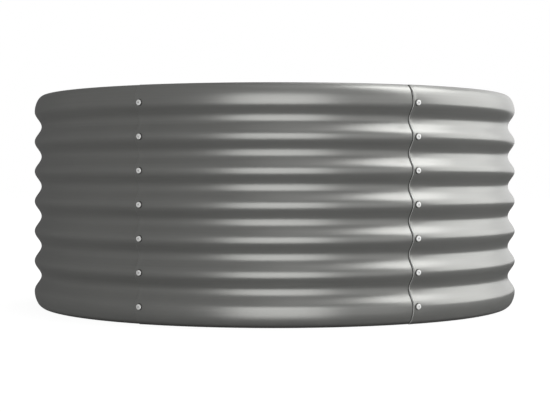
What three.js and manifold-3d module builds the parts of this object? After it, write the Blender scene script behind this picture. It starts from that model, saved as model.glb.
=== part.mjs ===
// Round raised garden bed: six alike panels of corrugated sheet steel, rolled to an arc, each
// lapped over its left-hand neighbour and bolted to it, open at the top and at the foot.
// Millimetres, +Z up, front towards -Y. The origin is on the bed's axis, at its foot.
import * as THREE from 'three';
import { mergeVertices } from 'three/addons/utils/BufferGeometryUtils.js';
import Module from 'manifold-3d';

const wasm = await Module();
wasm.setup();

// The bed
const overallDiameter = 833; // over the crests, where a lap lies outermost
const panelCount = 6;
const sheetThickness = 1.0;

// The corrugation, which runs round the bed
const waveCount = 6;
const wavePitch = 50.8;
const waveDepth = 11.6;
const crestFlat = 6.2; // height of the flat along each crest, where the bolts sit
const flankEnd = 130; // degrees of the wave from a crest to where its straight flank ends

// Both rims, from the end crest inwards, as a quarter of a superellipse
const rimHeight = 27.6;
const rimInset = 14.2;
const rimExponent = 1.66; // 2 is a quarter ellipse, 1 a straight slope
const rimSteps = 3;

// The laps
const lapWidth = 24;
const lapClearance = 0.3; // between the two sheets
const boltEdgeDistance = 8; // from the cut edge that shows to the bolts

// The fasteners: a pan head bolt that ends level with the back of its nut
const boltDiameter = 4;
const holeClearance = 0.4; // all round the bolt
const headDiameter = 8.5;
const headHeight = 3.1;
const headSideHeight = 2.0; // below the crown
const headSides = 8;
const nutAcrossFlats = 7;
const nutHeight = 3.2;
const seatClearance = 0.3; // under the head and under the nut

// How finely a panel's arc is cut into facets, between its laps
const arcSteps = 6;

const crestRadius = overallDiameter / 2;
const panelAngle = (2 * Math.PI) / panelCount;
const lapAngle = 2 * Math.asin(lapWidth / 2 / crestRadius);
const lapInset = sheetThickness + lapClearance; // how far a panel's covered end lies inside its outer end
const bedHeight = waveCount * wavePitch + 2 * rimHeight;
const holeDiameter = boltDiameter + 2 * holeClearance;
const crestHeights = Array.from({ length: waveCount + 1 }, (_, crest) => rimHeight + crest * wavePitch);

function radians(degrees) {
  return THREE.MathUtils.degToRad(degrees);
}

// The lower rim from its cut edge up to the first crest. A point is (radius, height).
function lowerRim() {
  const rim = [];
  for (let step = rimSteps; step > 0; step -= 1) {
    const turn = (Math.PI / 2) * (step / rimSteps);
    const inwards = rimInset * (1 - Math.cos(turn) ** (2 / rimExponent));
    const down = rimHeight * Math.sin(turn) ** (2 / rimExponent);
    rim.push(new THREE.Vector2(crestRadius - inwards, rimHeight - down));
  }
  return rim;
}

// The valley above a crest, between two straight flanks.
function valleyAbove(crestHeight) {
  return [flankEnd, 180, 360 - flankEnd].map((phase) => {
    const inwards = (waveDepth / 2) * (1 - Math.cos(radians(phase)));
    return new THREE.Vector2(crestRadius - inwards, crestHeight + (phase / 360) * wavePitch);
  });
}

// The sheet's outermost face from foot to top: rim, waves, rim.
function sheetProfile() {
  const bottomRim = lowerRim();
  const topRim = bottomRim.map((point) => new THREE.Vector2(point.x, bedHeight - point.y)).reverse();
  const waves = crestHeights.flatMap((height, index) => [
    new THREE.Vector2(crestRadius, height - crestFlat / 2),
    new THREE.Vector2(crestRadius, height + crestFlat / 2),
    ...(index < waveCount ? valleyAbove(height) : []),
  ]);
  return [...bottomRim, ...waves, ...topRim];
}

// Where a line through two points reaches a height, as (radius, height).
function atHeight(from, to, height) {
  return from.clone().lerp(to, (height - from.y) / (to.y - from.y));
}

// The profile moved inwards square to itself, and cut off level at the foot and the top.
function insetProfile(profile, inset) {
  const edges = [];
  for (let index = 1; index < profile.length; index += 1) {
    const along = profile[index].clone().sub(profile[index - 1]).normalize();
    const inwards = new THREE.Vector2(-along.y, along.x).multiplyScalar(inset);
    edges.push({ start: profile[index - 1].clone().add(inwards), along });
  }
  const corners = [];
  for (let index = 1; index < edges.length; index += 1) {
    const [one, other] = [edges[index - 1], edges[index]];
    const reach = other.start.clone().sub(one.start).cross(other.along) / one.along.cross(other.along);
    corners.push(one.start.clone().addScaledVector(one.along, reach));
  }
  const foot = atHeight(edges[0].start, corners[0], 0);
  const last = edges[edges.length - 1];
  const top = atHeight(last.start, last.start.clone().add(last.along), bedHeight);
  return [foot, ...corners, top];
}

// The angles round the bed at which a panel's facets meet, from its cut edge that shows to its
// covered end, each with how far inside the outermost face the sheet lies there.
function panelStations() {
  const stations = [{ angle: 0, inset: 0 }];
  for (let step = 0; step <= arcSteps; step += 1) {
    const share = step / arcSteps;
    const angle = lapAngle + share * (panelAngle - lapAngle);
    stations.push({ angle, inset: share * lapInset });
  }
  stations.push({ angle: panelAngle + lapAngle, inset: lapInset });
  return stations;
}

// A point of a profile at an angle round the bed, counted to the right from the front.
function aroundBed(point, angle) {
  return [point.x * Math.sin(angle), -point.x * Math.cos(angle), point.y];
}

// A closed sheet lofted through the stations, each a loop of the outer and the inner face.
function loftSheet(profile, stations) {
  const positions = [];
  const indices = [];
  const rowCount = profile.length;
  const loopCount = 2 * rowCount;
  for (const { angle, inset } of stations) {
    const outer = insetProfile(profile, inset);
    const inner = insetProfile(profile, inset + sheetThickness).reverse();
    for (const point of [...outer, ...inner]) {
      positions.push(...aroundBed(point, angle));
    }
  }
  const addQuad = (a, b, c, d) => indices.push(a, b, c, a, c, d);
  for (let station = 1; station < stations.length; station += 1) {
    const here = (station - 1) * loopCount;
    const next = station * loopCount;
    for (let index = 0; index < loopCount; index += 1) {
      const following = (index + 1) % loopCount;
      addQuad(here + index, next + index, next + following, here + following);
    }
  }
  const end = (stations.length - 1) * loopCount;
  for (let row = 1; row < rowCount; row += 1) {
    const across = loopCount - 1 - row;
    addQuad(row - 1, row, across, across + 1);
    addQuad(end + row, end + row - 1, end + across + 1, end + across);
  }
  const sheet = new THREE.BufferGeometry();
  sheet.setAttribute('position', new THREE.Float32BufferAttribute(positions, 3));
  sheet.setIndex(indices);
  return sheet;
}

// Booleans
function toSolid(geometry) {
  const bare = geometry.clone();
  bare.deleteAttribute('normal');
  bare.deleteAttribute('uv');
  const merged = mergeVertices(bare);
  const vertProperties = new Float32Array(merged.attributes.position.array);
  const triVerts = new Uint32Array(merged.index.array);
  return new wasm.Manifold(new wasm.Mesh({ numProp: 3, vertProperties, triVerts }));
}

function toGeometry(solid) {
  const mesh = solid.getMesh();
  const geometry = new THREE.BufferGeometry();
  geometry.setAttribute('position', new THREE.BufferAttribute(mesh.vertProperties, 3));
  geometry.setIndex(new THREE.BufferAttribute(mesh.triVerts, 1));
  geometry.computeVertexNormals();
  return geometry;
}

// A six-sided bar along Y, with a flat above and a flat below.
function hexBar(cornerRadius, fromY, toY) {
  const bar = new THREE.CylinderGeometry(cornerRadius, cornerRadius, toY - fromY, 6, 1, false, Math.PI / 2);
  return bar.translate(0, (fromY + toY) / 2, 0);
}

// Moves a shape made along Y, with Y = 0 on the bed's axis, to a bolt's place in a seam.
function placeAtBolt(object, height) {
  const middleOfLap = lapAngle / 2;
  const besideMiddle = boltEdgeDistance - lapWidth / 2;
  object.rotation.set(Math.PI, 0, middleOfLap, 'ZYX');
  object.position.set(besideMiddle * Math.cos(middleOfLap), besideMiddle * Math.sin(middleOfLap), height);
  object.updateMatrix();
  return object;
}

// How far a lap's facet lies from the bed's axis, for corners at a radius.
function lapDistance(radius) {
  return radius * Math.cos(lapAngle / 2);
}

// The two rows of holes: under this panel's cut edge, and under the next panel's.
function punchHoles(sheet) {
  const reach = lapDistance(crestRadius);
  const punch = hexBar(holeDiameter / 2, reach - waveDepth, reach + waveDepth);
  let solid = toSolid(sheet);
  for (const height of crestHeights) {
    for (const seamAngle of [0, panelAngle]) {
      const { matrix } = placeAtBolt(new THREE.Object3D(), height);
      const place = new THREE.Matrix4().makeRotationZ(seamAngle).multiply(matrix);
      solid = solid.subtract(toSolid(punch.clone().applyMatrix4(place)));
    }
  }
  return toGeometry(solid);
}

// The radius of a profile at a height.
function radiusAt(profile, height) {
  const above = profile.findIndex((point) => point.y >= height);
  return atHeight(profile[above - 1], profile[above], height).x;
}

// Where the nut's face comes to rest in the hollow behind the crests, as a radius.
function nutSeatRadius(profile) {
  const innermostFace = insetProfile(profile, lapInset + sheetThickness);
  const edges = crestHeights.flatMap((height) => [height - nutAcrossFlats / 2, height + nutAcrossFlats / 2]);
  return Math.min(...edges.map((height) => radiusAt(innermostFace, height)));
}

// A bolt with its nut run on, along Y, with Y counted from the bed's axis.
function makeFastener(profile) {
  const headSeat = lapDistance(crestRadius) + seatClearance;
  const nutSeat = lapDistance(nutSeatRadius(profile)) - seatClearance;
  const headProfile = [
    new THREE.Vector2(0, headSeat),
    new THREE.Vector2(headDiameter / 2, headSeat),
    new THREE.Vector2(headDiameter / 2, headSeat + headSideHeight),
    new THREE.Vector2(0, headSeat + headHeight),
  ];
  const head = new THREE.LatheGeometry(headProfile, headSides);
  const shank = hexBar(boltDiameter / 2, nutSeat - nutHeight / 2, headSeat + headSideHeight / 2);
  const nut = hexBar(nutAcrossFlats / 2 / Math.cos(Math.PI / 6), nutSeat - nutHeight, nutSeat);
  return toGeometry(toSolid(head).add(toSolid(shank)).add(toSolid(nut)));
}

// Finishes
function greyPaint() {
  return new THREE.MeshStandardMaterial({ color: 0x66696a, roughness: 0.32, metalness: 0.15 });
}

function zincPlate() {
  return new THREE.MeshStandardMaterial({ color: 0xc3c5c4, roughness: 0.35, metalness: 0.9 });
}

function namedMesh(name, geometry, material) {
  const mesh = new THREE.Mesh(geometry, material);
  mesh.name = name;
  return mesh;
}

// One sixth of the bed: a panel, and the bolts along its cut edge that shows.
function makeSegment(number, panelGeometry, fastenerGeometry) {
  const segment = new THREE.Group();
  segment.add(namedMesh(`panel_${number}`, panelGeometry, greyPaint()));
  crestHeights.forEach((height, row) => {
    const name = `seam_${number}_bolt_${row + 1}`;
    segment.add(placeAtBolt(namedMesh(name, fastenerGeometry, zincPlate()), height));
  });
  return segment;
}

function makeBed() {
  const profile = sheetProfile();
  const panelGeometry = punchHoles(loftSheet(profile, panelStations()));
  const fastenerGeometry = makeFastener(profile);
  const bed = new THREE.Group();
  for (let index = 0; index < panelCount; index += 1) {
    const segment = makeSegment(index + 1, panelGeometry, fastenerGeometry);
    segment.rotation.z = (index - 0.5) * panelAngle;
    bed.add(segment);
  }
  return bed;
}

export default makeBed();
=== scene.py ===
"""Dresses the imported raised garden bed: corrugated panels, bolts and nuts, finishes, a studio.

Metres, +Z up, front towards -Y, the bed's axis on Z. Angles round it count to the right from
the front.
"""

import logging
import math
from dataclasses import dataclass, field
from enum import Enum

import bmesh
import bpy
from mathutils import Matrix, Vector


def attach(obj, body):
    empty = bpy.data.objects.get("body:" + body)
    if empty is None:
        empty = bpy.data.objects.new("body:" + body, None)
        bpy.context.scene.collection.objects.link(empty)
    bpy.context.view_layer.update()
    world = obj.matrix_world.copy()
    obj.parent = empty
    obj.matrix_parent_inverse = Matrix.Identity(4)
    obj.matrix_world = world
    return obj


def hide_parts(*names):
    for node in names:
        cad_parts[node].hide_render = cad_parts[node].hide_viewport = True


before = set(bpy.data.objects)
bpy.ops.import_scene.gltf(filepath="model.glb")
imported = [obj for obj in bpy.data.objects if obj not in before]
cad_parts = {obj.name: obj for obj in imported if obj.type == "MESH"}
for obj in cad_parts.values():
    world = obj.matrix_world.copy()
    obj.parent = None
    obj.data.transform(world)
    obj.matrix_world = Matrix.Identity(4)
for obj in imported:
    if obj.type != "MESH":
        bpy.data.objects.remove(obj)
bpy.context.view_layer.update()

LOG = logging.getLogger("garden_bed")
BODY = "root"
MM = 0.001

Material = bpy.types.Material
Piece = bpy.types.Object
Tree = bpy.types.NodeTree
Socket = bpy.types.NodeSocket
Sockets = bpy.types.bpy_prop_collection
Value = Socket | float
Colour = tuple[float, float, float, float]


class TreeKind(Enum):
    """The two kinds of node group that the script builds."""

    GEOMETRY = "GeometryNodeTree"
    SHADER = "ShaderNodeTree"


class TreeMaker:
    """Writes one node tree, a call for each node."""

    def __init__(self, tree: Tree) -> None:
        """Starts on a tree."""
        self.tree = tree

    @classmethod
    def new_group(cls, name: str, kind: TreeKind) -> "TreeMaker":
        """Makes an empty node group of a kind and gives a maker for it."""
        return cls(bpy.data.node_groups.new(name, kind.value))

    def open_group(
        self, inputs: dict[str, float | None], output: str, output_type: str = "NodeSocketFloat"
    ) -> Sockets:
        """Gives the group its named inputs and its output.

        Args:
            inputs: each input's default by its name, where None stands for a vector.
            output: the output's name.
            output_type: the output's socket type.

        Returns:
            The inputs' sockets inside the group.
        """
        types = {type(None): "NodeSocketVector", int: "NodeSocketInt", float: "NodeSocketFloat"}
        interface = self.tree.interface
        for name, default in inputs.items():
            item = interface.new_socket(name=name, in_out="INPUT", socket_type=types[type(default)])
            if default is not None:
                item.default_value = default
        interface.new_socket(name=output, in_out="OUTPUT", socket_type=output_type)
        return self.node("NodeGroupInput").outputs

    def node(
        self, kind: str, inputs: dict[str | int, object] | None = None, **settings: object
    ) -> bpy.types.Node:
        """Adds a node.

        Args:
            kind: the node's type name.
            inputs: a value or a socket for each input, by its name or its number.
            settings: the node's own properties.

        Returns:
            The new node.
        """
        node = self.tree.nodes.new(kind)
        for name, setting in settings.items():
            setattr(node, name, setting)
        for key, value in (inputs or {}).items():
            socket = node.inputs[key] if isinstance(key, int) else self.enabled(node.inputs, key)
            self.feed(socket, value)
        return node

    @staticmethod
    def enabled(sockets: Sockets, name: str) -> Socket:
        """Finds the socket of that name that the node's settings leave in use."""
        return next(socket for socket in sockets if socket.name == name and socket.enabled)

    def feed(self, socket: Socket, value: object) -> None:
        """Gives an input its value.

        Args:
            socket: the input.
            value: a socket, which is linked to it, or a plain value.
        """
        if isinstance(value, bpy.types.NodeSocket):
            self.tree.links.new(value, socket)
        else:
            socket.default_value = value

    def math(self, operation: str, *values: Value) -> Socket:
        """Adds a Math node and gives its result."""
        return self.node("ShaderNodeMath", dict(enumerate(values)), operation=operation).outputs[0]

    def plus(self, one: Value, other: Value) -> Socket:
        """Gives one + other."""
        return self.math("ADD", one, other)

    def minus(self, one: Value, other: Value) -> Socket:
        """Gives one - other."""
        return self.math("SUBTRACT", one, other)

    def times(self, one: Value, other: Value) -> Socket:
        """Gives one x other."""
        return self.math("MULTIPLY", one, other)

    def over(self, one: Value, other: Value) -> Socket:
        """Gives one / other."""
        return self.math("DIVIDE", one, other)

    def ramp(
        self, value: Value, low: Value, high: Value, to_low: Value = 0.0, to_high: Value = 1.0
    ) -> Socket:
        """Maps a value from one range to another and clamps it.

        Args:
            value: what is mapped.
            low: where the result starts.
            high: where the result ends.
            to_low: the result at low.
            to_high: the result at high.

        Returns:
            The mapped value.
        """
        inputs = {"Value": value, "From Min": low, "From Max": high}
        inputs |= {"To Min": to_low, "To Max": to_high}
        return self.node("ShaderNodeMapRange", inputs).outputs[0]

    def noise(self, vector: Socket, scale: Value, detail: float) -> Socket:
        """Gives the value of a noise texture."""
        inputs = {"Vector": vector, "Scale": scale, "Detail": detail}
        return self.node("ShaderNodeTexNoise", inputs).outputs["Fac"]

    def add_shares(self, start: Value, *shares: tuple[Socket, float]) -> Socket:
        """Adds shares of several masks to a value.

        Args:
            start: the value.
            shares: each mask, with the share of it that is added.

        Returns:
            The sum.
        """
        total = start
        for mask, share in shares:
            total = self.plus(total, self.times(mask, share))
        return total

    def end_geometry(self, shape: Socket, material: Material) -> None:
        """Ends a geometry tree.

        Args:
            shape: the tree's result, whose copies are made real.
            material: what it is made of.
        """
        real = self.node("GeometryNodeRealizeInstances", {"Geometry": shape}).outputs[0]
        dressed = self.node("GeometryNodeSetMaterial", {"Geometry": real, "Material": material})
        self.node("NodeGroupOutput", {"Geometry": dressed.outputs[0]})

    def around(self, place: Socket) -> Socket:
        """Gives the angle round the bed's axis, counted to the right from the front."""
        x, y, _ = self.split(place)
        return self.math("ARCTAN2", x, self.times(y, -1.0))

    def split(self, vector: Socket) -> tuple[Socket, Socket, Socket]:
        """Gives a vector's three parts."""
        parts = self.node("ShaderNodeSeparateXYZ", {0: vector}).outputs
        return parts[0], parts[1], parts[2]

    def join(self, x: Value, y: Value, z: Value) -> Socket:
        """Makes a vector of three values."""
        return self.node("ShaderNodeCombineXYZ", {0: x, 1: y, 2: z}).outputs[0]

    def place_group(self, group: Tree, inputs: dict[str, object]) -> Socket:
        """Places a node group, with its inputs by name, and gives its output."""
        kind = group.bl_idname.replace("NodeTree", "NodeGroup")
        return self.node(kind, inputs, node_tree=group).outputs[0]

    def choose(self, test: Socket, when_false: Value, when_true: Value) -> Socket:
        """Gives one of two values by a test."""
        inputs = {"Switch": test, "False": when_false, "True": when_true}
        return self.node("GeometryNodeSwitch", inputs, input_type="FLOAT").outputs[0]

    def other_leg(self, radius: Value, leg: Value) -> Socket:
        """Gives the other leg of the right triangle with this radius and leg."""
        squares = self.minus(self.times(radius, radius), self.times(leg, leg))
        return self.math("SQRT", self.math("MAXIMUM", squares, 0.0))

    def crowd_ends(self, share: Socket, strength: float) -> Socket:
        """Moves even shares towards 0 and 1, more the nearer the strength is to 1."""
        wave = self.math("SINE", self.times(share, 2 * math.pi))
        return self.minus(share, self.times(wave, strength / (2 * math.pi)))

    def random(self, seed: Value, low: float, high: float) -> Socket:
        """Gives a random value for each point.

        Args:
            seed: what the values follow from.
            low: the least value.
            high: the greatest value.

        Returns:
            The value.
        """
        inputs = {"Min": low, "Max": high, "Seed": seed}
        node = self.node("FunctionNodeRandomValue", inputs, data_type="FLOAT")
        return self.enabled(node.outputs, "Value")

    def set_round(self, radius: Value, angle: Socket, height: Socket) -> Socket:
        """Gives a place round the bed.

        Args:
            radius: its distance from the bed's axis.
            angle: its angle round the axis.
            height: its height above the foot.

        Returns:
            The place.
        """
        x = self.times(radius, self.math("SINE", angle))
        y = self.times(radius, self.times(self.math("COSINE", angle), -1.0))
        return self.join(x, y, height)


def add_object(name: str, data: bpy.types.ID) -> Piece:
    """Puts a new object in the scene.

    Args:
        name: its name.
        data: its mesh, camera or lamp.

    Returns:
        The object.
    """
    piece = bpy.data.objects.new(name, data)
    bpy.context.scene.collection.objects.link(piece)
    return piece


def run_geometry_tree(name: str, tree: Tree, inputs: dict[str, object]) -> Piece:
    """Evaluates a Geometry Nodes tree once and keeps the result as a plain mesh.

    Args:
        name: the new object's name.
        tree: the tree.
        inputs: the tree's inputs by name.

    Returns:
        An object at the origin that holds the mesh and has no modifier.
    """
    carrier = add_object(f"{name}_carrier", bpy.data.meshes.new(f"{name}_carrier"))
    modifier = carrier.modifiers.new("shape", "NODES")
    modifier.node_group = tree
    for item in tree.interface.items_tree:
        if item.item_type == "SOCKET" and item.in_out == "INPUT" and item.name in inputs:
            modifier[item.identifier] = inputs[item.name]
    evaluated = carrier.evaluated_get(bpy.context.evaluated_depsgraph_get())
    mesh = bpy.data.meshes.new_from_object(evaluated)
    mesh.name = name
    carrier.modifiers.clear()
    bpy.data.objects.remove(carrier)
    return add_object(name, mesh)


@dataclass(frozen=True)
class SheetSizes:
    """The corrugated sheet's own sizes, in metres unless a name says otherwise."""

    overall_diameter: float = 832.6 * MM
    height: float = 360.0 * MM
    wave_count: int = 6
    wave_pitch: float = 50.8 * MM
    wave_depth: float = 11.6 * MM
    shoulder_radius: float = 40.0 * MM
    shoulder_turn: float = math.radians(30)
    roll_radius: float = 18.6 * MM
    thickness: float = 1.0 * MM
    lap_clearance: float = 0.3 * MM
    lap_width: float = 24.0 * MM
    bolt_edge_distance: float = 8.0 * MM
    free_edge_lift: float = 0.7 * MM
    panel_count: int = 6

    @property
    def crest_radius(self) -> float:
        """The radius over the crests where a lap lies outermost."""
        return self.overall_diameter / 2

    @property
    def rim_height(self) -> float:
        """The height of the first crest above the foot."""
        return (self.height - self.wave_count * self.wave_pitch) / 2

    @property
    def panel_angle(self) -> float:
        """The angle from one seam to the next."""
        return 2 * math.pi / self.panel_count

    @property
    def lap_angle(self) -> float:
        """The angle over which two panels lie on each other."""
        return self.lap_width / self.crest_radius

    @property
    def bolt_angle(self) -> float:
        """The angle from a panel's cut edge to its bolts."""
        return self.bolt_edge_distance / self.crest_radius

    def seam_angle(self, index: int) -> float:
        """The angle of a panel's cut edge that shows."""
        return (index - 0.5) * self.panel_angle


@dataclass(frozen=True)
class FastenerSizes:
    """The pan head bolts and hexagon nuts, in metres unless a name says otherwise."""

    head_diameter: float = 8.5 * MM
    head_height: float = 2.9 * MM
    head_side: float = 1.9 * MM
    under_edge: float = 0.15 * MM
    crown_turn: float = 1.6 * MM
    crown_sweep: float = math.radians(78)
    crown_steps: int = 6
    recess_span: float = 3.4 * MM
    recess_slot: float = 0.8 * MM
    recess_depth: float = 1.0 * MM
    recess_land: float = 0.25 * MM
    recess_floor_share: float = 0.45
    recess_least_slot: float = 0.4
    shank_diameter: float = 4.0 * MM
    thread_pitch: float = 0.7 * MM
    thread_depth: float = 0.42 * MM
    thread_lead: float = 0.2 * MM
    thread_start: float = 0.3 * MM
    thread_stop: float = 0.4 * MM
    neck: float = 0.05 * MM
    bolt_length: float = 12.0 * MM
    nut_across_flats: float = 7.0 * MM
    nut_height: float = 3.2 * MM
    nut_chamfer: float = math.radians(30)
    nut_face_margin: float = 0.1 * MM
    bore_gap: float = 0.05 * MM
    countersink_width: float = 0.25 * MM
    countersink_depth: float = 0.3 * MM
    nut_distance: float = 3.0 * MM
    seat_sink: float = 0.2 * MM


class SharedEffects:
    """Shader node groups for effects that more than one finish uses."""

    def __init__(self) -> None:
        """Builds every group once."""
        self.fine_bumps = self._fine_bumps()
        self.settled_dust = self._settled_dust()
        self.blotches = self._blotches()

    @staticmethod
    def _fine_bumps() -> Tree:
        """Builds the small relief of a coating.

        Returns:
            A group from Size and Depth, in metres, to a Height.
        """
        maker = TreeMaker.new_group("fine_bumps", TreeKind.SHADER)
        given = maker.open_group({"Vector": None, "Size": 2 * MM, "Depth": 0.02 * MM}, "Height")
        relief = maker.noise(given["Vector"], maker.over(1.0, given["Size"]), detail=1.5)
        maker.node("NodeGroupOutput", {"Height": maker.times(relief, given["Depth"])})
        return maker.tree

    @staticmethod
    def _settled_dust() -> Tree:
        """Builds the thin dust that lies on what faces up and low down on the wall.

        Returns:
            A group from Amount and Reach, in metres above the foot, to a Mask.
        """
        maker = TreeMaker.new_group("settled_dust", TreeKind.SHADER)
        given = maker.open_group({"Vector": None, "Amount": 0.2, "Reach": 0.12}, "Mask")
        height = maker.split(given["Vector"])[2]
        low_down = maker.ramp(height, 0.0, given["Reach"], to_low=1.0, to_high=0.0)
        facing_up = maker.split(maker.node("ShaderNodeNewGeometry").outputs["Normal"])[2]
        ledge = maker.ramp(facing_up, low=0.2, high=0.95)
        cloud = maker.noise(given["Vector"], scale=22.0, detail=5.0)
        broken = maker.ramp(cloud, low=0.35, high=0.7)
        amount = maker.add_shares(0.0, (low_down, 0.6), (ledge, 0.4))
        mask = maker.times(maker.times(amount, broken), given["Amount"])
        maker.node("NodeGroupOutput", {"Mask": mask})
        return maker.tree

    @staticmethod
    def _blotches() -> Tree:
        """Builds broad, faint patches that keep a surface from looking even.

        Returns:
            A group from Size, in metres, and Contrast to a Factor about 0.
        """
        maker = TreeMaker.new_group("blotches", TreeKind.SHADER)
        given = maker.open_group({"Vector": None, "Size": 60 * MM, "Contrast": 0.1}, "Factor")
        patches = maker.noise(given["Vector"], maker.over(1.0, given["Size"]), detail=4.0)
        centred = maker.minus(patches, 0.5)
        maker.node("NodeGroupOutput", {"Factor": maker.times(centred, given["Contrast"])})
        return maker.tree


class Finish:
    """A material under construction, with its Principled shader at hand."""

    def __init__(self, name: str) -> None:
        """Makes the material and clears its tree.

        Args:
            name: the material's name.
        """
        self.material = bpy.data.materials.new(name)
        self.material.use_nodes = True
        self.material.node_tree.nodes.clear()
        self.maker = TreeMaker(self.material.node_tree)
        self.shader = self.maker.node("ShaderNodeBsdfPrincipled")
        self.maker.node("ShaderNodeOutputMaterial", {"Surface": self.shader.outputs[0]})
        self.place = self.maker.node("ShaderNodeTexCoord").outputs["Object"]

    def set(self, **inputs: object) -> None:
        """Writes or links the shader's inputs, with _ for a space in their names."""
        for name, value in inputs.items():
            self.maker.feed(self.shader.inputs[name.replace("_", " ")], value)

    def mix_colours(self, factor: Value, one: Socket | Colour, other: Socket | Colour) -> Socket:
        """Mixes two colours.

        Args:
            factor: the share of the second.
            one: the first colour.
            other: the second colour.

        Returns:
            The mixed colour.
        """
        inputs = {"Factor": factor, "A": one, "B": other}
        node = self.maker.node("ShaderNodeMix", inputs, data_type="RGBA")
        return self.maker.enabled(node.outputs, "Result")

    def mark(self, name: str) -> Socket:
        """Reads a mark that a piece carries on its faces."""
        return self.maker.node("ShaderNodeAttribute", attribute_name=name).outputs["Fac"]

    def use(self, effect: Tree, **inputs: float) -> Socket:
        """Uses a shared effect in the piece's own coordinates and gives its output."""
        return self.maker.place_group(effect, {"Vector": self.place} | inputs)

    def bump(self, height: Socket, strength: float) -> Socket:
        """Turns a height in metres into a normal; the strength is the share that shows."""
        inputs = {"Height": height, "Strength": strength, "Distance": 1.0}
        return self.maker.node("ShaderNodeBump", inputs).outputs[0]


@dataclass(frozen=True)
class CoatedSteel:
    """The grey coating on the sheet, with bare zinc where the sheet is cut and shade painted at the
    seams, bolts and foot.
    """

    base: Colour = (0.253, 0.2545, 0.2447, 1.0)
    shade: Colour = (0.231, 0.2325, 0.2239, 1.0)
    dust: Colour = (0.29, 0.265, 0.23, 1.0)
    bare_edge: Colour = (0.80, 0.81, 0.80, 1.0)
    # painted shade: the dark colour laid where shadow falls in the seam corners, round the bolt
    # heads and along the foot
    painted_shade: Colour = (0.035, 0.034, 0.032, 1.0)
    roughness: float = 0.335
    metallic: float = 0.75
    bare_metallic: float = 0.1
    patch_size: float = 90 * MM
    patch_contrast: float = 1.2
    line_contrast: float = 1.5
    dust_amount: float = 0.06
    dust_reach: float = 100 * MM
    peel_size: float = 2.2 * MM
    peel_depth: float = 0.03 * MM
    peel_strength: float = 0.5
    # reach and strength of the painted shade in the seam corners, round the bolt heads and at the
    # foot
    seam_shade_width: float = 1.1 * MM
    seam_shade: float = 0.8
    head_shade: float = 0.85
    head_shade_reach: tuple[float, float] = (0.4 * MM, 1.5 * MM)
    foot_shade: float = 0.72
    foot_shade_reach: tuple[float, float] = (1.5 * MM, 6.0 * MM)

    def build(self, effects: SharedEffects, sheet: SheetSizes, head_diameter: float) -> Material:
        """Builds the material.

        Args:
            effects: the shared node groups.
            sheet: the sheet's sizes, which place its seams and crests.
            head_diameter: the diameter of the bolt heads on it.

        Returns:
            The finished material.
        """
        finish = Finish("grey_coated_steel")
        maker = finish.maker
        patches = finish.use(effects.blotches, Size=self.patch_size, Contrast=self.patch_contrast)
        lines = self._rolling_lines(finish)
        tone = maker.add_shares(0.5, (patches, 1.0), (lines, self.line_contrast))
        colour = finish.mix_colours(tone, self.shade, self.base)
        dust = finish.use(effects.settled_dust, Amount=self.dust_amount, Reach=self.dust_reach)
        # painted shade: a mask that darkens the colour where shadow falls
        painted_shade = self._painted_shade_mask(finish, sheet, head_diameter)
        bare = finish.mark("bare_edge")
        for mask, stain in ((dust, self.dust), (painted_shade, self.painted_shade), (bare, self.bare_edge)):
            colour = finish.mix_colours(mask, colour, stain)
        roughness = maker.add_shares(
            self.roughness, (lines, 0.02), (dust, 0.9), (bare, 0.2), (painted_shade, 0.3)
        )
        peel = finish.use(effects.fine_bumps, Size=self.peel_size, Depth=self.peel_depth)
        normal = finish.bump(peel, self.peel_strength)
        metallic = maker.ramp(bare, 0.0, 1.0, self.metallic, self.bare_metallic)
        finish.set(Base_Color=colour, Roughness=roughness, Metallic=metallic, Normal=normal)
        finish.set(Specular_IOR_Level=0.5, IOR=1.5)
        return finish.material

    def _painted_shade_mask(self, finish: Finish, sheet: SheetSizes, head_diameter: float) -> Socket:
        """Makes the painted shade along the seams' cut edges, round the bolt heads and at the foot.

        Args:
            finish: the material it is for.
            sheet: the sheet's sizes.
            head_diameter: the diameter of the bolt heads.

        Returns:
            A mask that is near 1 where shade is painted: in the seam corners, round each head and
            along the foot.
        """
        maker = finish.maker
        height = maker.split(finish.place)[2]
        turns = maker.over(maker.around(finish.place), sheet.panel_angle)
        from_seam = maker.minus(maker.math("FRACT", turns), 0.5)
        along = maker.times(from_seam, sheet.panel_angle * sheet.crest_radius)
        # painted shade in the seam corner, where the lapped edge shades the sheet below it
        half_width = self.seam_shade_width / 2
        in_corner = maker.math("COMPARE", along, -half_width, half_width)
        crests = maker.over(maker.minus(height, sheet.rim_height), sheet.wave_pitch)
        from_crest = maker.minus(crests, maker.math("ROUND", crests))
        rise = maker.times(from_crest, sheet.wave_pitch)
        aside = maker.minus(along, sheet.bolt_edge_distance)
        squares = maker.plus(maker.times(aside, aside), maker.times(rise, rise))
        from_head = maker.minus(maker.math("SQRT", squares), head_diameter / 2)
        # painted shade as a dark ring round each bolt head and a darkening towards the foot
        ring = maker.ramp(from_head, *self.head_shade_reach, self.head_shade, 0.0)
        foot = maker.ramp(height, *self.foot_shade_reach, self.foot_shade, 0.0)
        corner = maker.times(in_corner, self.seam_shade)
        return maker.math("MAXIMUM", maker.math("MAXIMUM", ring, foot), corner)

    @staticmethod
    def _rolling_lines(finish: Finish) -> Socket:
        """Makes the faint lines that the forming rolls leave along the waves.

        Args:
            finish: the material they are for.

        Returns:
            A value about 0 that changes across the waves and hardly along them.
        """
        maker = finish.maker
        per_radian, per_metre = 1.5, 420.0
        along = maker.times(maker.around(finish.place), per_radian)
        across = maker.times(maker.split(finish.place)[2], per_metre)
        lines = maker.noise(maker.join(along, 0.0, across), scale=1.0, detail=3.0)
        return maker.minus(lines, 0.5)


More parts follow.
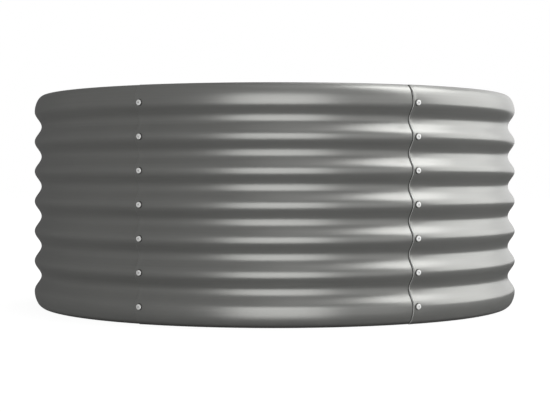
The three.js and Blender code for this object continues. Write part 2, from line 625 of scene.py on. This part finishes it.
@dataclass(frozen=True)
class ZincPlate:
    """Bright zinc on the bolts and nuts, with shade painted on the bolt heads' side walls and
    recesses.
    """

    base: Colour = (0.74, 0.75, 0.75, 1.0)
    warm: Colour = (0.60, 0.59, 0.56, 1.0)
    # painted shade: the dark colour on each bolt head's side wall and in its cross recess
    painted_shade: Colour = (0.05, 0.048, 0.044, 1.0)
    roughness: float = 0.36
    metallic: float = 0.2
    patch_size: float = 2.4 * MM
    patch_contrast: float = 3.0
    warm_share: float = 0.3
    grain_size: float = 0.35 * MM
    grain_depth: float = 0.008 * MM
    grain_strength: float = 0.5

    def build(self, effects: SharedEffects) -> Material:
        """Builds the material.

        Args:
            effects: the shared node groups.

        Returns:
            The finished material.
        """
        finish = Finish("zinc_plate")
        maker = finish.maker
        patches = finish.use(effects.blotches, Size=self.patch_size, Contrast=self.patch_contrast)
        colour = finish.mix_colours(maker.plus(self.warm_share, patches), self.base, self.warm)
        # darkens the zinc with painted shade where the bolt's faces carry the mark
        colour = finish.mix_colours(finish.mark("grimy"), colour, self.painted_shade)
        roughness = maker.add_shares(self.roughness, (patches, 0.2))
        grain = finish.use(effects.fine_bumps, Size=self.grain_size, Depth=self.grain_depth)
        normal = finish.bump(grain, self.grain_strength)
        finish.set(Base_Color=colour, Roughness=roughness, Metallic=self.metallic, Normal=normal)
        return finish.material


@dataclass
class CorrugatedPanels:
    """The six alike panels, each lapped over its left-hand neighbour."""

    sizes: SheetSizes
    columns: int = 72
    rows: int = 240
    side_crowding: float = 0.99
    rim_crowding: float = 0.8
    corner_width: float = 1.0 * MM
    corner_drop: float = 0.5 * MM
    corner_power: float = 1.35
    worn_width: float = 0.3 * MM
    worn_fade: float = 1.6
    wear: float = 0.15
    rim_wear: float = 0.1
    sharp_bend: float = math.radians(50)
    slope_reach: float = 0.05 * MM
    pieces: list[Piece] = field(default_factory=list)

    def _profile_group(self) -> Tree:
        """Builds the sheet's outline: waves, and at foot and top a shoulder that rolls inwards.

        Returns:
            A group from a height to the radius of the sheet's outermost face there.
        """
        sizes = self.sizes
        maker = TreeMaker.new_group("sheet_outline", TreeKind.GEOMETRY)
        inputs = {
            "Height": 0.0,
            "Crest Radius": sizes.crest_radius,
            "Wave Pitch": sizes.wave_pitch,
            "Wave Depth": sizes.wave_depth,
            "Shoulder Radius": sizes.shoulder_radius,
            "Roll Radius": sizes.roll_radius,
        }
        given = maker.open_group(inputs, "Radius")
        middle = sizes.height / 2
        half_waves = sizes.wave_count * sizes.wave_pitch / 2
        from_middle = maker.minus(given["Height"], middle)
        phase = maker.times(maker.over(from_middle, given["Wave Pitch"]), 2 * math.pi)
        swing = maker.minus(1.0, maker.math("COSINE", phase))
        wave_inset = maker.times(maker.times(swing, 0.5), given["Wave Depth"])
        past_waves = maker.minus(maker.math("ABSOLUTE", from_middle), half_waves)
        beyond = maker.math("MAXIMUM", past_waves, 0.0)
        shoulder, roll = given["Shoulder Radius"], given["Roll Radius"]
        shoulder_inset = maker.minus(shoulder, maker.other_leg(shoulder, beyond))
        between = maker.minus(shoulder, roll)
        step_in = maker.times(between, math.cos(sizes.shoulder_turn))
        step_up = maker.times(between, math.sin(sizes.shoulder_turn))
        roll_leg = maker.other_leg(roll, maker.minus(beyond, step_up))
        roll_inset = maker.minus(maker.minus(shoulder, step_in), roll_leg)
        turn_height = maker.times(shoulder, math.sin(sizes.shoulder_turn))
        on_roll = maker.math("GREATER_THAN", beyond, turn_height)
        rim_inset = maker.choose(on_roll, shoulder_inset, roll_inset)
        on_rim = maker.math("GREATER_THAN", beyond, 0.0)
        inset = maker.choose(on_rim, wave_inset, rim_inset)
        maker.node("NodeGroupOutput", {"Radius": maker.minus(given["Crest Radius"], inset)})
        return maker.tree

    def build_tree(self, material: Material) -> Tree:
        """Builds the tree that rolls a thin slab into a panel.

        Args:
            material: the panel's material.

        Returns:
            The tree, with Seam Angle as its main input.
        """
        sizes = self.sizes
        outline = self._profile_group()
        maker = TreeMaker.new_group("corrugated_panel", TreeKind.GEOMETRY)
        inputs = {
            "Seam Angle": 0.0,
            "Panel Angle": sizes.panel_angle,
            "Lap Angle": sizes.lap_angle,
            "Height": sizes.height,
            "Thickness": sizes.thickness,
            "Lap Clearance": sizes.lap_clearance,
            "Free Edge Lift": sizes.free_edge_lift,
        }
        given = maker.open_group(inputs, "Geometry", "NodeSocketGeometry")
        counts = {"Vertices X": self.columns, "Vertices Y": self.rows, "Vertices Z": 2}
        slab = maker.node("GeometryNodeMeshCube", counts).outputs["Mesh"]
        place = maker.node("GeometryNodeInputPosition").outputs[0]
        across, up, depth = (maker.plus(part, 0.5) for part in maker.split(place))
        sweep = maker.plus(given["Panel Angle"], given["Lap Angle"])
        turn = maker.times(maker.crowd_ends(across, self.side_crowding), sweep)
        height = maker.times(maker.crowd_ends(up, self.rim_crowding), given["Height"])
        lap_step = maker.plus(given["Thickness"], given["Lap Clearance"])
        step_in = maker.ramp(turn, given["Lap Angle"], given["Panel Angle"], 0.0, lap_step)
        nearer = maker.math("MINIMUM", turn, maker.minus(sweep, turn))
        to_sides = maker.times(nearer, sizes.crest_radius)
        inset = maker.plus(step_in, self._thickness_share(maker, given, to_sides, height, depth))
        free = maker.ramp(turn, 0.0, sizes.bolt_angle, 1.0, 0.0)
        lift = maker.times(maker.times(free, free), given["Free Edge Lift"])
        inset = maker.minus(inset, lift)
        radius = self._moved_radius(maker, outline, height, inset)
        angle = maker.plus(turn, given["Seam Angle"])
        slab = self._mark_bare_edges(maker, slab, to_sides)
        moved = {"Geometry": slab, "Position": maker.set_round(radius, angle, height)}
        rolled = maker.node("GeometryNodeSetPosition", moved).outputs[0]
        maker.end_geometry(self._shade(maker, rolled), material)
        return maker.tree

    def _mark_bare_edges(self, maker: TreeMaker, slab: Socket, to_sides: Socket) -> Socket:
        """Marks how bare the coating leaves the metal along the sheet's cuts.

        Args:
            maker: the tree's maker.
            slab: the flat slab.
            to_sides: the point's distance to the nearer side, in metres.

        Returns:
            The slab with the mark on its faces.
        """
        normal = maker.split(maker.node("GeometryNodeInputNormal").outputs[0])
        on_side, on_rim = (
            maker.math("GREATER_THAN", maker.math("ABSOLUTE", part), 0.5) for part in normal[:2]
        )
        fade = self.worn_width * self.worn_fade
        worn = maker.ramp(to_sides, self.worn_width, fade, self.wear, 0.0)
        sides = maker.math("MAXIMUM", on_side, worn)
        bare = maker.math("MAXIMUM", sides, maker.times(on_rim, self.rim_wear))
        inputs = {"Geometry": slab, "Name": "bare_edge", "Value": bare}
        kind = "GeometryNodeStoreNamedAttribute"
        return maker.node(kind, inputs, data_type="FLOAT", domain="FACE").outputs[0]

    def _thickness_share(
        self, maker: TreeMaker, given: Sockets, to_sides: Socket, height: Socket, depth: Socket
    ) -> Socket:
        """Gives how far a point lies under the outer face, with the sheet's corners rounded.

        Args:
            maker: the tree's maker.
            given: the tree's inputs.
            to_sides: the point's distance to the nearer side, in metres.
            height: the point's height.
            depth: 1 on the outer face and 0 on the inner.

        Returns:
            The depth below the outer face, in metres.
        """
        to_rims = maker.math("MINIMUM", height, maker.minus(given["Height"], height))
        to_edge = maker.math("MINIMUM", to_sides, to_rims)
        share = maker.ramp(to_edge, 0.0, self.corner_width, 1.0, 0.0)
        fall = maker.times(maker.math("POWER", share, self.corner_power), self.corner_drop)
        return maker.ramp(depth, 1.0, 0.0, fall, given["Thickness"])

    def _moved_radius(
        self, maker: TreeMaker, outline: Tree, height: Socket, inset: Socket
    ) -> Socket:
        """Gives the outline's radius moved inwards square to the outline.

        Args:
            maker: the tree's maker.
            outline: the outline's group.
            height: where the radius is wanted.
            inset: how far it moves, in metres.

        Returns:
            The moved radius.
        """
        reach = self.slope_reach
        here, above, below = (
            maker.place_group(outline, {"Height": maker.plus(height, step)})
            for step in (0.0, reach, -reach)
        )
        slope = maker.over(maker.minus(above, below), 2 * reach)
        stretch = maker.math("SQRT", maker.plus(1.0, maker.times(slope, slope)))
        return maker.minus(here, maker.times(inset, stretch))

    def _shade(self, maker: TreeMaker, mesh: Socket) -> Socket:
        """Shades the faces smoothly and keeps the cut edges sharp.

        Args:
            maker: the tree's maker.
            mesh: the panel.

        Returns:
            The shaded panel.
        """
        kind = "GeometryNodeSetShadeSmooth"
        smooth = maker.node(kind, {0: mesh}, domain="FACE").outputs[0]
        bend = maker.node("GeometryNodeInputMeshEdgeAngle").outputs["Unsigned Angle"]
        sharp = maker.math("GREATER_THAN", bend, self.sharp_bend)
        return maker.node(kind, {0: smooth, 1: sharp, 2: False}, domain="EDGE").outputs[0]

    def make(self, material: Material) -> None:
        """Makes the six panels and puts each in the place of its solid.

        Args:
            material: the coated steel.
        """
        tree = self.build_tree(material)
        for index in range(self.sizes.panel_count):
            node = f"panel_{index + 1}"
            inputs = {"Seam Angle": self.sizes.seam_angle(index)}
            piece = run_geometry_tree(f"coated_{node}", tree, inputs)
            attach(piece, BODY)
            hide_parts(node)
            self.pieces.append(piece)


@dataclass
class SeamFasteners:
    """The bolts and nuts along the six seams."""

    sheet: SheetSizes
    sizes: FastenerSizes
    bolt_segments: int = 32
    nut_segments: int = 48
    hard_bend: float = math.radians(35)
    # shares of painted shade on the head's side wall and in its cross recess
    head_side_shade: float = 0.9
    recess_shade: float = 0.4
    tilt: float = 0.012
    seam_seeds: int = 10
    nut_seed: int = 5
    pieces: list[Piece] = field(default_factory=list)

    def _finish_shape(self, shape: bmesh.types.BMesh, name: str) -> Piece:
        """Turns a shape into an object that is shaded smoothly between its hard edges.

        Args:
            shape: the shape, which is freed.
            name: the object's name.

        Returns:
            The object.
        """
        bmesh.ops.recalc_face_normals(shape, faces=shape.faces)
        for face in shape.faces:
            face.smooth = True
        for edge in shape.edges:
            edge.smooth = len(edge.link_faces) == 2 and edge.calc_face_angle() < self.hard_bend
        mesh = bpy.data.meshes.new(name)
        shape.to_mesh(mesh)
        shape.free()
        return bpy.data.objects.new(name, mesh)

    @staticmethod
    def _skin(
        shape: bmesh.types.BMesh, rings: list[list[Vector]], closed: bool = False
    ) -> tuple[list[list[bmesh.types.BMVert]], list[bmesh.types.BMFace]]:
        """Joins rings of points, all with as many points, into a skin.

        Args:
            shape: the shape that gets the skin.
            rings: the rings in order.
            closed: whether the last is joined to the first.

        Returns:
            The rings' vertices and the skin's faces.
        """
        loops = [[shape.verts.new(point) for point in ring] for ring in rings]
        faces = []
        for here, there in zip(loops, loops[1:] + loops[:1] if closed else loops[1:]):
            for index in range(len(here)):
                following = (index + 1) % len(here)
                corners = here[index], here[following], there[following], there[index]
                faces.append(shape.faces.new(corners))
        return loops, faces

    @staticmethod
    def _ring(x: float, radius: float, count: int) -> list[Vector]:
        """Gives a round ring of points about the X axis."""
        turns = [2 * math.pi * index / count for index in range(count)]
        return [Vector((x, radius * math.cos(turn), radius * math.sin(turn))) for turn in turns]

    def _bolt_outline(self) -> list[tuple[float, float]]:
        """Gives the bolt's outline as places along X and radii.

        Returns:
            The thread from its end to the neck, then the head up to the flat on its crown.
        """
        sizes = self.sizes
        major = sizes.shank_diameter / 2
        minor = major - sizes.thread_depth
        outline = [(-sizes.bolt_length, minor - sizes.thread_lead)]
        x = -sizes.bolt_length + sizes.thread_start
        while x < -sizes.thread_stop:
            outline += [(x, minor), (x + sizes.thread_pitch / 2, major)]
            x += sizes.thread_pitch
        radius = sizes.head_diameter / 2
        crown = sizes.head_height - sizes.head_side
        edge = sizes.under_edge
        outline += [(-sizes.neck, major), (0.0, radius - edge), (edge, radius)]
        for step in range(sizes.crown_steps):
            turn = step / sizes.crown_steps * sizes.crown_sweep
            inset = sizes.crown_turn * (1 - math.cos(turn))
            outline.append((sizes.head_side + crown * math.sin(turn), radius - inset))
        outline.append((sizes.head_height, sizes.recess_span / 2 + sizes.recess_land))
        return outline

    def _cross_outline(self, x: float, scale: float) -> list[Vector]:
        """Gives the twelve corners of the cross recess at a depth.

        Args:
            x: the depth's place along X.
            scale: the cross's size there, 1 being the full one.

        Returns:
            The corners in order.
        """
        arm = self.sizes.recess_span / 2 * scale
        least = self.sizes.recess_least_slot
        slot = self.sizes.recess_slot / 2 * (least + (1 - least) * scale)
        quarter = [(arm, -slot), (arm, slot), (slot, slot)]
        corners = []
        for turns in range(4):
            turn = Matrix.Rotation(turns * math.pi / 2, 2)
            corners += [turn @ Vector(corner) for corner in quarter]
        return [Vector((x, corner.x, corner.y)) for corner in corners]

    def _bolt(self) -> Piece:
        """Makes one bolt along X with the underside of its head at X = 0.

        Returns:
            The bolt, with painted shade marked on its recess and on the side of its head.
        """
        sizes = self.sizes
        shape = bmesh.new()
        marks = shape.faces.layers.float.new("grimy")
        rings = [self._ring(x, radius, self.bolt_segments) for x, radius in self._bolt_outline()]
        loops, _ = self._skin(shape, rings)
        shape.faces.new(list(reversed(loops[0])))
        cross = [
            self._cross_outline(sizes.head_height, 1.0),
            self._cross_outline(sizes.head_height - sizes.recess_depth, sizes.recess_floor_share),
        ]
        (mouth, floor), recess = self._skin(shape, cross)
        recess.append(shape.faces.new(floor))
        ends = set(loops[-1]), set(mouth)
        rim = [edge for edge in shape.edges if any(end.issuperset(edge.verts) for end in ends)]
        bmesh.ops.triangle_fill(shape, use_beauty=True, edges=rim)
        # marks where shade is painted: the head's side wall and the cross recess
        for face in shape.faces:
            if 0.0 < face.calc_center_median().x < sizes.head_side:
                face[marks] = self.head_side_shade
        for face in recess:
            face[marks] = self.recess_shade
        return self._finish_shape(shape, "bolt_shape")

    def _nut(self) -> Piece:
        """Makes one hexagon nut along X with its seat at X = 0 and its back at less.

        Returns:
            The nut, with its corners chamfered and its thread's bore through it.
        """
        sizes = self.sizes
        count = self.nut_segments
        flat = sizes.nut_across_flats / 2
        face = flat - sizes.nut_face_margin
        back = -sizes.nut_height
        bore = sizes.shank_diameter / 2 + sizes.bore_gap
        mouth = bore + sizes.countersink_width

        def hexagon(x: float, side: int) -> list[Vector]:
            """Gives the ring where the flats meet a chamfer.

            Args:
                x: the chamfered face's place.
                side: 1 where the nut lies towards +X, otherwise -1.

            Returns:
                The ring's points.
            """
            points = []
            for turn in (2 * math.pi * index / count for index in range(count)):
                reach = flat / math.cos((turn % (math.pi / 3)) - math.pi / 6)
                fall = side * (reach - flat) * math.tan(sizes.nut_chamfer)
                points.append(Vector((x + fall, reach * math.cos(turn), reach * math.sin(turn))))
            return points

        rings = [
            self._ring(back, mouth, count),
            self._ring(back, face, count),
            hexagon(back, 1),
            hexagon(0.0, -1),
            self._ring(0.0, face, count),
            self._ring(0.0, mouth, count),
            self._ring(-sizes.countersink_depth, bore, count),
            self._ring(back + sizes.countersink_depth, bore, count),
        ]
        shape = bmesh.new()
        self._skin(shape, rings, closed=True)
        return self._finish_shape(shape, "nut_shape")

    def build_tree(self, name: str, shape: Piece, material: Material) -> Tree:
        """Builds the tree that sets one shape on every crest of a seam.

        Args:
            name: the tree's name.
            shape: what is repeated, made along X.
            material: its material.

        Returns:
            The tree, with Seam Angle and Seat Radius as its main inputs.
        """
        maker = TreeMaker.new_group(name, TreeKind.GEOMETRY)
        inputs = {
            "Seam Angle": 0.0,
            "Seat Radius": self.sheet.crest_radius,
            "Bolt Angle": self.sheet.bolt_angle,
            "First Crest": self.sheet.rim_height,
            "Wave Pitch": self.sheet.wave_pitch,
            "Crests": self.sheet.wave_count + 1,
            "Seed": 0,
        }
        given = maker.open_group(inputs, "Geometry", "NodeSocketGeometry")
        angle = maker.plus(given["Seam Angle"], given["Bolt Angle"])
        start = maker.set_round(given["Seat Radius"], angle, given["First Crest"])
        step = maker.join(0.0, 0.0, given["Wave Pitch"])
        row = {"Count": given["Crests"], "Start Location": start, "Offset": step}
        points = maker.node("GeometryNodeMeshLine", row, mode="OFFSET").outputs[0]
        spin = maker.random(given["Seed"], 0.0, math.tau)
        nod = maker.random(maker.plus(given["Seed"], 1.0), -self.tilt, self.tilt)
        facing = maker.minus(angle, math.pi / 2)
        rotation = maker.join(spin, nod, facing)
        source = maker.node("GeometryNodeObjectInfo", {"Object": shape}).outputs["Geometry"]
        copies = {"Points": points, "Instance": source, "Rotation": rotation}
        placed = maker.node("GeometryNodeInstanceOnPoints", copies).outputs[0]
        maker.end_geometry(placed, material)
        return maker.tree

    def make(self, material: Material) -> None:
        """Makes the bolts and nuts of the six seams.

        Args:
            material: the zinc plate.
        """
        bolt, nut = self._bolt(), self._nut()
        bolt_tree = self.build_tree("seam_bolts", bolt, material)
        nut_tree = self.build_tree("seam_nuts", nut, material)
        crests = range(1, self.sheet.wave_count + 2)
        for index in range(self.sheet.panel_count):
            seam = f"seam_{index + 1}"
            inputs = {
                "Seam Angle": self.sheet.seam_angle(index),
                "Seat Radius": self.sheet.crest_radius - self.sizes.seat_sink,
                "Seed": self.seam_seeds * index,
            }
            bolts = run_geometry_tree(f"{seam}_bolts", bolt_tree, inputs)
            inputs["Seat Radius"] -= self.sizes.nut_distance
            inputs["Seed"] += self.nut_seed
            nuts = run_geometry_tree(f"{seam}_nuts", nut_tree, inputs)
            for piece in (bolts, nuts):
                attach(piece, BODY)
                self.pieces.append(piece)
            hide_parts(*[f"{seam}_bolt_{crest}" for crest in crests])
        for shape in (bolt, nut):
            bpy.data.objects.remove(shape)


@dataclass(frozen=True)
class Softbox:
    """A rectangular lamp aimed at the bed's middle."""

    name: str
    azimuth: float
    elevation: float
    distance: float
    width: float
    height: float
    level: float

    @property
    def watts(self) -> float:
        """The power at which the lamp's face has its level, 1 being white."""
        return self.level * math.pi * self.width * self.height


@dataclass
class Studio:
    """The camera, the floor, the background and the lamps."""

    image_width: float = 550.0
    image_height: float = 412.0
    focal_pixels: float = 1352.5
    centre_pixel: tuple[float, float] = (266.4, 177.8)
    camera_distance: float = 2.379
    camera_height: float = 0.220
    axis_to_right: float = 0.0146
    azimuth: float = math.radians(0.5)
    sensor_width: float = 36.0
    floor_radius: float = 12.0
    floor_drop: float = 0.2 * MM
    floor_grey: float = 0.62
    floor_glow: float = 1.07
    shadow_reach: tuple[float, float] = (0.42, 0.6)
    shadow_depth: float = 0.11
    aim_height: float = 0.18
    softboxes: tuple[Softbox, ...] = (
        Softbox("front", 2.5, -3.0, 3.0, 2.35, 4.1, 2.08),
        Softbox("front_right", 49.0, 0.0, 3.0, 1.5, 3.2, 0.42),
        Softbox("high_right", 85.5, 52.5, 3.0, 1.55, 1.5, 5.2),
        Softbox("high_back_right", 150.0, 56.0, 3.0, 1.6, 1.2, 1.8),
        Softbox("right", 97.0, 18.5, 3.0, 3.0, 2.3, 2.2),
        Softbox("back_right", 140.0, 18.5, 3.0, 1.7, 2.3, 1.15),
        Softbox("overhead", 35.0, 66.0, 2.6, 2.0, 1.6, 0.4),
    )

    def add_camera(self) -> None:
        """Puts the camera where the photograph was taken from."""
        data = bpy.data.cameras.new("camera")
        data.sensor_width = self.sensor_width
        data.lens = self.focal_pixels * data.sensor_width / self.image_width
        data.shift_x = (self.image_width / 2 - self.centre_pixel[0]) / self.image_width
        data.shift_y = (self.centre_pixel[1] - self.image_height / 2) / self.image_width
        data.clip_end = 100.0
        camera = add_object("camera", data)
        ahead = Vector((-math.sin(self.azimuth), math.cos(self.azimuth), 0.0))
        right = Vector((math.cos(self.azimuth), math.sin(self.azimuth), 0.0))
        place = -ahead * self.camera_distance - right * self.axis_to_right
        camera.location = place + Vector((0.0, 0.0, self.camera_height))
        camera.rotation_euler = (math.pi / 2, 0.0, self.azimuth)
        bpy.context.scene.camera = camera

    def add_world(self) -> None:
        """Gives the background its white and the surroundings their dim, even light."""
        world = bpy.data.worlds.new("studio")
        world.use_nodes = True
        world.node_tree.nodes.clear()
        maker = TreeMaker(world.node_tree)
        seen = maker.node("ShaderNodeLightPath").outputs["Is Camera Ray"]
        direction = maker.node("ShaderNodeTexCoord").outputs["Generated"]
        _, backwards, upwards = maker.split(direction)
        below = maker.ramp(upwards, low=-0.82, high=-0.62, to_low=0.125, to_high=0.21)
        level = maker.ramp(upwards, low=-0.62, high=-0.05, to_low=0.0, to_high=0.095)
        behind = maker.ramp(backwards, low=0.4, high=1.0, to_low=1.0, to_high=0.4)
        dim = maker.times(maker.plus(below, level), behind)
        strength = maker.ramp(seen, 0.0, 1.0, to_low=dim, to_high=1.0)
        white = {"Color": (1.0, 1.0, 1.0, 1.0), "Strength": strength}
        light = maker.node("ShaderNodeBackground", white)
        maker.node("ShaderNodeOutputWorld", {"Surface": light.outputs[0]})
        bpy.context.scene.world = world

    def add_floor(self) -> None:
        """Lays the pale floor, which the camera sees as white apart from the bed's shadow."""
        shape = bmesh.new()
        bmesh.ops.create_circle(shape, cap_ends=True, segments=96, radius=self.floor_radius)
        mesh = bpy.data.meshes.new("floor")
        shape.to_mesh(mesh)
        shape.free()
        floor = add_object("floor", mesh)
        floor.location.z = -self.floor_drop
        floor.visible_glossy = False
        floor.visible_shadow = False
        material = bpy.data.materials.new("floor")
        material.use_nodes = True
        material.node_tree.nodes.clear()
        maker = TreeMaker(material.node_tree)
        x, y, _ = maker.split(maker.node("ShaderNodeTexCoord").outputs["Object"])
        out = maker.math("SQRT", maker.plus(maker.times(x, x), maker.times(y, y)))
        near = maker.ramp(out, *self.shadow_reach, to_low=1.0, to_high=0.0)
        grey: Colour = (self.floor_grey, self.floor_grey, self.floor_grey, 1.0)
        pale = maker.node("ShaderNodeBsdfDiffuse", {"Color": grey})
        white = {"Color": (1.0, 1.0, 1.0, 1.0), "Strength": self.floor_glow}
        glow = maker.node("ShaderNodeEmission", white)
        seen = maker.node("ShaderNodeLightPath").outputs["Is Camera Ray"]
        share = maker.times(seen, maker.add_shares(1.0, (near, -self.shadow_depth)))
        mix = {0: share, 1: pale.outputs[0], 2: glow.outputs[0]}
        mixed = maker.node("ShaderNodeMixShader", mix)
        maker.node("ShaderNodeOutputMaterial", {"Surface": mixed.outputs[0]})
        mesh.materials.append(material)

    def add_lamps(self) -> None:
        """Hangs the softboxes round the bed."""
        aim = Vector((0.0, 0.0, self.aim_height))
        for box in self.softboxes:
            data = bpy.data.lights.new(box.name, "AREA")
            data.shape = "RECTANGLE"
            data.size, data.size_y = box.width, box.height
            data.energy = box.watts
            lamp = add_object(box.name, data)
            lamp.visible_camera = False
            azimuth, elevation = math.radians(box.azimuth), math.radians(box.elevation)
            flat = Vector((math.sin(azimuth), -math.cos(azimuth), 0.0)) * math.cos(elevation)
            away = flat + Vector((0.0, 0.0, math.sin(elevation)))
            lamp.location = aim + away * box.distance
            lamp.rotation_euler = away.to_track_quat("Z", "Y").to_euler()

    def build(self) -> None:
        """Sets the whole studio up."""
        self.add_camera()
        self.add_world()
        self.add_floor()
        self.add_lamps()
        bpy.context.scene.view_settings.view_transform = "Standard"


def main() -> None:
    """Builds the dressed bed and its studio."""
    logging.basicConfig(level=logging.INFO, format="%(name)s: %(message)s")
    effects = SharedEffects()
    sheet = SheetSizes()
    panels = CorrugatedPanels(sheet)
    bolt_sizes = FastenerSizes()
    panels.make(CoatedSteel().build(effects, sheet, bolt_sizes.head_diameter))
    fasteners = SeamFasteners(sheet, bolt_sizes)
    fasteners.make(ZincPlate().build(effects))
    for piece in panels.pieces + fasteners.pieces:
        LOG.info("%s: %d faces", piece.name, len(piece.data.polygons))
    Studio().build()


if __name__ == "__main__":
    main()
